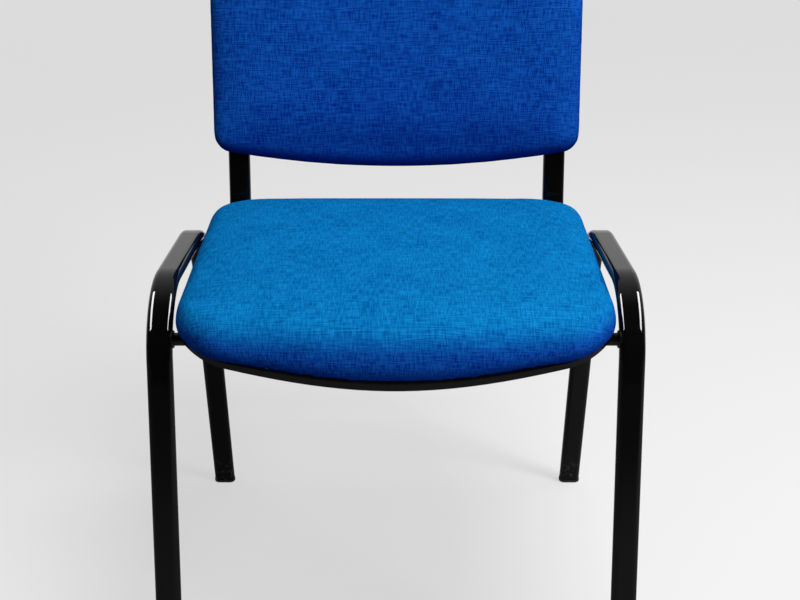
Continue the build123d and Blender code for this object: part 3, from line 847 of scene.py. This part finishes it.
floor_seen = math_node(floor_tree, "ADD", floor_seen, floor_rays["Is Transmission Ray"])
floor_glow = math_node(floor_tree, "MULTIPLY", floor_seen, floor_lift)
set_shader(floor_tree, floor_shader, {"Base Color": floor_pale, "Roughness": floor_rough})
set_shader(floor_tree, floor_shader, {"Specular IOR Level": 0.0, "Emission Strength": floor_glow})
floor_shader.inputs["Emission Color"].default_value = plain_white
give_material(floor, floor_finish)


# Surround: even light, pale to the eye, and pale in reflections behind the chair but dark in front of it
world = bpy.data.worlds.new("studio")
bpy.context.scene.world = world
world.use_nodes = True
world_tree = world.node_tree
surround = next(n for n in world_tree.nodes if n.type == "BACKGROUND")
rays = add_node(world_tree, "ShaderNodeLightPath").outputs
ray_place = add_node(world_tree, "ShaderNodeTexCoord").outputs["Generated"]
ray_depth = add_node(world_tree, "ShaderNodeSeparateXYZ", {0: ray_place}).outputs["Y"]
mirrored = ramp_between(world_tree, ray_depth, *mirror_turn, mirror_front, background_pale)
seen = math_node(world_tree, "MULTIPLY", rays["Is Camera Ray"], background_pale)
shown = math_node(world_tree, "MULTIPLY", rays["Is Glossy Ray"], mirrored)
clear = math_node(world_tree, "MULTIPLY", rays["Is Transmission Ray"], background_pale)
direct = math_node(world_tree, "ADD", math_node(world_tree, "ADD", seen, shown), clear)
looked_at = math_node(world_tree, "ADD", rays["Is Camera Ray"], rays["Is Glossy Ray"])
looked_at = math_node(world_tree, "ADD", looked_at, rays["Is Transmission Ray"])
unseen = math_node(world_tree, "SUBTRACT", 1.0, looked_at)
lighting = math_node(world_tree, "MULTIPLY", unseen, surround_level)
world_tree.links.new(math_node(world_tree, "ADD", direct, lighting), surround.inputs["Strength"])
surround.inputs["Color"].default_value = plain_white


# Lamps: soft ones overhead and at the right, and a strip each side seen only in the gloss of the tubes
def soft_lamp(name, start, end, target, width, power):
    start = Vector(start)
    end = Vector(end)
    middle = (start + end) / 2
    back = (middle - Vector(target)).normalized()
    across = (end - start).cross(back).normalized()
    along = back.cross(across)
    deselect_all()
    bpy.ops.object.light_add(type="AREA", location=middle)
    lamp = bpy.context.object
    lamp.name = name
    lamp.data.shape = "RECTANGLE"
    lamp.data.size = width
    lamp.data.size_y = (end - start).length
    lamp.data.energy = power
    lamp.rotation_euler = Matrix((across, along, back)).transposed().to_euler()
    return lamp


def on_side(side, spot):
    return (side * spot[0], spot[1], spot[2])


overhead_lamp = soft_lamp(
    "overhead_lamp", overhead_start, overhead_end, chair_middle, overhead_width, overhead_power
)
right_lamp = soft_lamp("right_lamp", right_start, right_end, chair_middle, right_width, right_power)
for lamp in (overhead_lamp, right_lamp):
    lamp.visible_glossy = False
gloss_black_tubes = bpy.data.collections.new("gloss_black_tubes")
for name in ("side_frame_left", "side_frame_right", "back_support_left", "back_support_right"):
    gloss_black_tubes.objects.link(bpy.data.objects[name])
for side in (-1, 1):
    start = on_side(side, strip_start)
    end = on_side(side, strip_end)
    target = on_side(side, strip_target)
    lamp = soft_lamp("strip_lamp", start, end, target, strip_width, strip_power)
    lamp.visible_camera = False
    lamp.visible_diffuse = False
    lamp.light_linking.receiver_collection = gloss_black_tubes

# Camera
deselect_all()
bpy.ops.object.camera_add(location=camera_place, rotation=(camera_tilt, 0, 0))
camera = bpy.context.object
camera.data.sensor_width = camera_sensor
camera.data.lens = camera_lens
bpy.context.scene.camera = camera

bpy.context.scene.view_settings.view_transform = "Standard"
